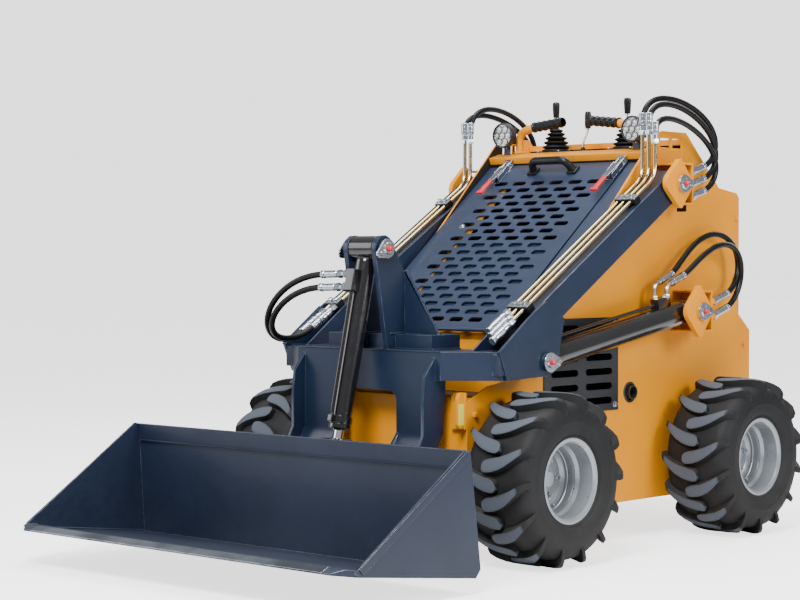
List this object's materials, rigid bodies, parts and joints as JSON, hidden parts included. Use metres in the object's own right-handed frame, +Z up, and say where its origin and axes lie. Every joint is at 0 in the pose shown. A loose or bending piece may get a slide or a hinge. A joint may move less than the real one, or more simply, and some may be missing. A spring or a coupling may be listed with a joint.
{
  "type": "skid steer loader",
  "caption": "Compact stand-on skid steer loader with four wheels, lifting arms, tipping bucket, hydraulic cylinders, hinged sloping hood panel and rear step.",
  "frame": {"origin": "centre of the footprint of the bounding box, on the ground", "axes": "+Z up, the machine faces -Y, +X is its left side, the axles run along X"},
  "size_m": [1.215, 2.355, 1.2843],
  "materials": {
    "body_paint": "gloss orange-yellow paint",
    "frame_paint": "satin slate-blue paint",
    "grille_paint": "satin slate-blue paint",
    "bucket_paint": "satin slate-blue paint, scuffed",
    "cylinder_paint": "gloss black paint",
    "rod_chrome": "polished",
    "tyre": "matt",
    "rim_paint": "silver-grey paint",
    "plated_line": "yellow zinc plating",
    "hose": "matt",
    "boot": "matt",
    "handle": "matt",
    "lamp": "dark housing",
    "vent": "satin dark grey paint",
    "engine": "matt",
    "exhaust": "heat darkened"
  },
  "bodies": {
    "machine_body": {"body_tub": "body_paint", "control_deck": "body_paint", "rear_cover": "body_paint", "rear_step": "frame_paint", "engine_block": "engine", "exhaust_pipe": "exhaust", "throttle_lever": "handle", "side_panel_left": "body_paint", "vent_cover_left": "vent", "upper_bracket_left": "body_paint", "lower_bracket_left": "body_paint", "hand_bar_left": "body_paint", "joystick_left": "boot", "work_lamp_left": "lamp", "upper_hoses_left": "hose", "lift_hoses_left": "hose", "side_panel_right": "body_paint", "vent_cover_right": "vent", "upper_bracket_right": "body_paint", "lower_bracket_right": "body_paint", "hand_bar_right": "body_paint", "joystick_right": "boot", "work_lamp_right": "lamp", "upper_hoses_right": "hose", "lift_hoses_right": "hose"},
    "wheel_front_left": {"tyre_front_left": "tyre", "rim_front_left": "rim_paint"},
    "wheel_front_right": {"tyre_front_right": "tyre", "rim_front_right": "rim_paint"},
    "wheel_rear_left": {"tyre_rear_left": "tyre", "rim_rear_left": "rim_paint"},
    "wheel_rear_right": {"tyre_rear_right": "tyre", "rim_rear_right": "rim_paint"},
    "loader_arms": {"arm_gantry": "frame_paint", "arm_beam_left": "frame_paint", "arm_beam_right": "frame_paint", "arm_lines_left": "plated_line", "arm_lines_right": "plated_line", "tilt_hoses": "hose"},
    "bucket": {"bucket_shell": "bucket_paint", "attachment_plate": "bucket_paint"},
    "tilt_barrel": {"tilt_barrel": "cylinder_paint"},
    "tilt_rod": {"tilt_rod": "rod_chrome"},
    "lift_barrel_left": {"lift_barrel_left": "cylinder_paint"},
    "lift_rod_left": {"lift_rod_left": "rod_chrome"},
    "lift_barrel_right": {"lift_barrel_right": "cylinder_paint"},
    "lift_rod_right": {"lift_rod_right": "rod_chrome"},
    "hood_panel": {"hood_grille": "grille_paint", "grille_handle": "handle"},
    "rear_door": {"rear_door": "body_paint"}
  },
  "joints": [
    {"name": "wheel_front_left_spin", "type": "hinge", "parent": "machine_body", "child": "wheel_front_left", "pos_m": [0.4335, -0.2525, 0.2286], "axis": [1, 0, 0], "continuous": true},
    {"name": "wheel_front_right_spin", "type": "hinge", "parent": "machine_body", "child": "wheel_front_right", "pos_m": [-0.4335, -0.2525, 0.2286], "axis": [1, 0, 0], "continuous": true},
    {"name": "wheel_rear_left_spin", "type": "hinge", "parent": "machine_body", "child": "wheel_rear_left", "pos_m": [0.4335, 0.6395, 0.2286], "axis": [1, 0, 0], "continuous": true},
    {"name": "wheel_rear_right_spin", "type": "hinge", "parent": "machine_body", "child": "wheel_rear_right", "pos_m": [-0.4335, 0.6395, 0.2286], "axis": [1, 0, 0], "continuous": true},
    {"name": "arms_raise", "type": "hinge", "parent": "machine_body", "child": "loader_arms", "pos_m": [0, 0.4095, 1.0185], "axis": [-1, 0, 0], "range_deg": [-1, 80], "deforming": ["upper_hoses_left", "upper_hoses_right"]},
    {"name": "bucket_tilt", "type": "hinge", "parent": "loader_arms", "child": "bucket", "pos_m": [0, -0.5875, 0.13], "axis": [1, 0, 0], "range_deg": [-10, 125]},
    {"name": "tilt_barrel_swing", "type": "hinge", "parent": "loader_arms", "child": "tilt_barrel", "pos_m": [0, -0.4595, 0.831], "axis": [-1, 0, 0], "range_deg": [-1.3, 10.5], "deforming": ["tilt_hoses"]},
    {"name": "tilt_rod_slide", "type": "slide", "parent": "tilt_barrel", "child": "tilt_rod", "axis": [0, -0.2257, -0.9742], "range_m": [-0.0226, 0.2594]},
    {"name": "lift_barrel_left_swing", "type": "hinge", "parent": "machine_body", "child": "lift_barrel_left", "pos_m": [0.352, 0.5095, 0.6515], "axis": [1, 0, 0], "range_deg": [-61.7, 1.27], "deforming": ["lift_hoses_left"]},
    {"name": "lift_rod_left_slide", "type": "slide", "parent": "lift_barrel_left", "child": "lift_rod_left", "axis": [0, -0.9854, -0.1705], "range_m": [-0.0071, 0.4097]},
    {"name": "lift_barrel_right_swing", "type": "hinge", "parent": "machine_body", "child": "lift_barrel_right", "pos_m": [-0.352, 0.5095, 0.6515], "axis": [1, 0, 0], "range_deg": [-61.7, 1.27], "deforming": ["lift_hoses_right"]},
    {"name": "lift_rod_right_slide", "type": "slide", "parent": "lift_barrel_right", "child": "lift_rod_right", "axis": [0, -0.9854, -0.1705], "range_m": [-0.0071, 0.4097]},
    {"name": "hood_panel_open", "type": "hinge", "parent": "machine_body", "child": "hood_panel", "pos_m": [0, -0.19037, 0.59985], "axis": [1, 0, 0], "range_deg": [0, 50]},
    {"name": "rear_door_open", "type": "hinge", "parent": "machine_body", "child": "rear_door", "pos_m": [-0.283, 0.8675, 0.81], "axis": [0, 0, 1], "range_deg": [0, 100]}
  ],
  "couplings": [
    {"joint": "tilt_barrel_swing", "follows": "bucket_tilt", "ratio": 0.08},
    {"joint": "tilt_rod_slide", "follows": "bucket_tilt", "m_per_rad": 0.118},
    {"joint": "lift_barrel_left_swing", "follows": "arms_raise", "ratio": -0.765},
    {"joint": "lift_rod_left_slide", "follows": "arms_raise", "m_per_rad": 0.292},
    {"joint": "lift_barrel_right_swing", "follows": "arms_raise", "ratio": -0.765},
    {"joint": "lift_rod_right_slide", "follows": "arms_raise", "m_per_rad": 0.292}
  ]
}
